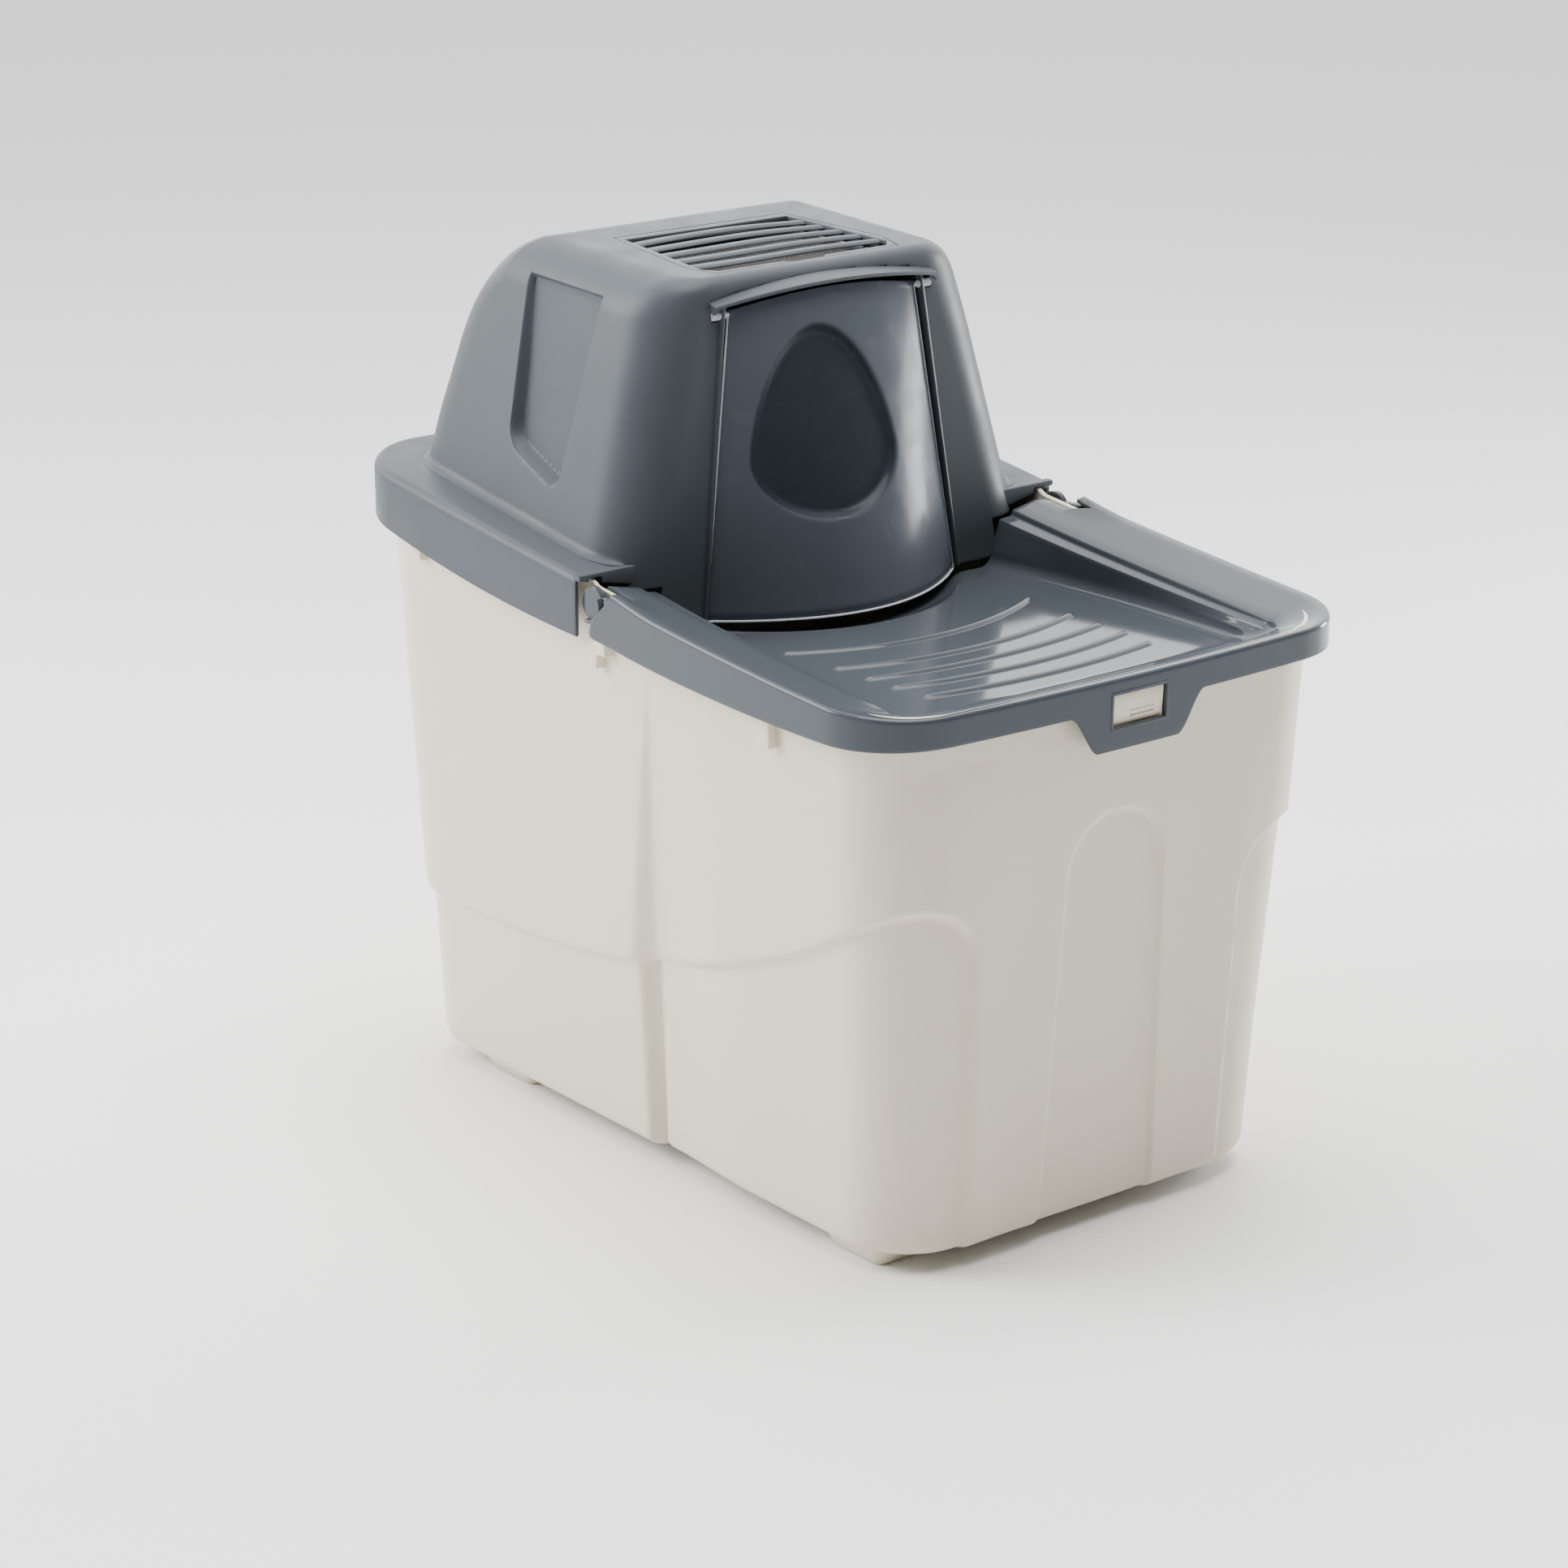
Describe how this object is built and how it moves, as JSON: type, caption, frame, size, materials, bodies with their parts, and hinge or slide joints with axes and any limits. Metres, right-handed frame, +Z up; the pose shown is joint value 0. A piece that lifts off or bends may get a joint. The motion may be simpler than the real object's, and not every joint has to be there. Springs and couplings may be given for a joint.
{
  "type": "cat litter box with hood",
  "caption": "Hooded cat litter box: tapered bin on feet, hinged step lid with litter tray and catch, lift-off hood with smoked swing door and roof filter.",
  "frame": {"origin": "centre of the bounding box on the floor, under the feet", "axes": "+Z up, +X to the right seen from the front, the step lid and its catch face -Y, the hood is at +Y"},
  "size_m": [0.392, 0.56, 0.572],
  "materials": {
    "bin_plastic": "satin moulded polypropylene",
    "hood_plastic": "fine matte grain",
    "lid_plastic": "glossy",
    "smoked_pane": "smoked clear plastic",
    "clear_plastic": "clear plastic",
    "carbon_foam": "open-cell foam"
  },
  "bodies": {
    "bin": {"bin_tub": "bin_plastic", "foot_front_left": "bin_plastic", "foot_front_right": "bin_plastic", "foot_rear_left": "bin_plastic", "foot_rear_right": "bin_plastic"},
    "catch": {"front_catch": "bin_plastic"},
    "hood": {"hood_shell": "hood_plastic", "carbon_filter": "carbon_foam"},
    "door": {"swing_door": "smoked_pane", "door_pivot_left": "clear_plastic", "door_pivot_right": "clear_plastic"},
    "filter_cover": {"filter_grille": "hood_plastic"},
    "lid": {"step_lid": "lid_plastic", "lid_hinge_pin_left": "lid_plastic", "lid_hinge_pin_right": "lid_plastic"}
  },
  "joints": [
    {"name": "hood_lift", "type": "slide", "parent": "bin", "child": "hood", "axis": [0, 0, 1], "range_m": [0, 0.25]},
    {"name": "door_swing", "type": "hinge", "parent": "hood", "child": "door", "pos_m": [0, 0.018, 0.543], "axis": [1, 0, 0], "range_deg": [-50, 55]},
    {"name": "filter_cover_hinge", "type": "hinge", "parent": "hood", "child": "filter_cover", "pos_m": [0, 0.143, 0.56943], "axis": [-1, 0, 0], "range_deg": [0, 85]},
    {"name": "lid_hinge", "type": "hinge", "parent": "bin", "child": "lid", "pos_m": [0, 0.0045, 0.379], "axis": [-1, 0, 0], "range_deg": [0, 68]},
    {"name": "catch_press", "type": "hinge", "parent": "bin", "child": "catch", "pos_m": [0, -0.2735, 0.327], "axis": [-1, 0, 0], "range_deg": [0, 6], "stiffness_Nm_per_rad": 2}
  ]
}
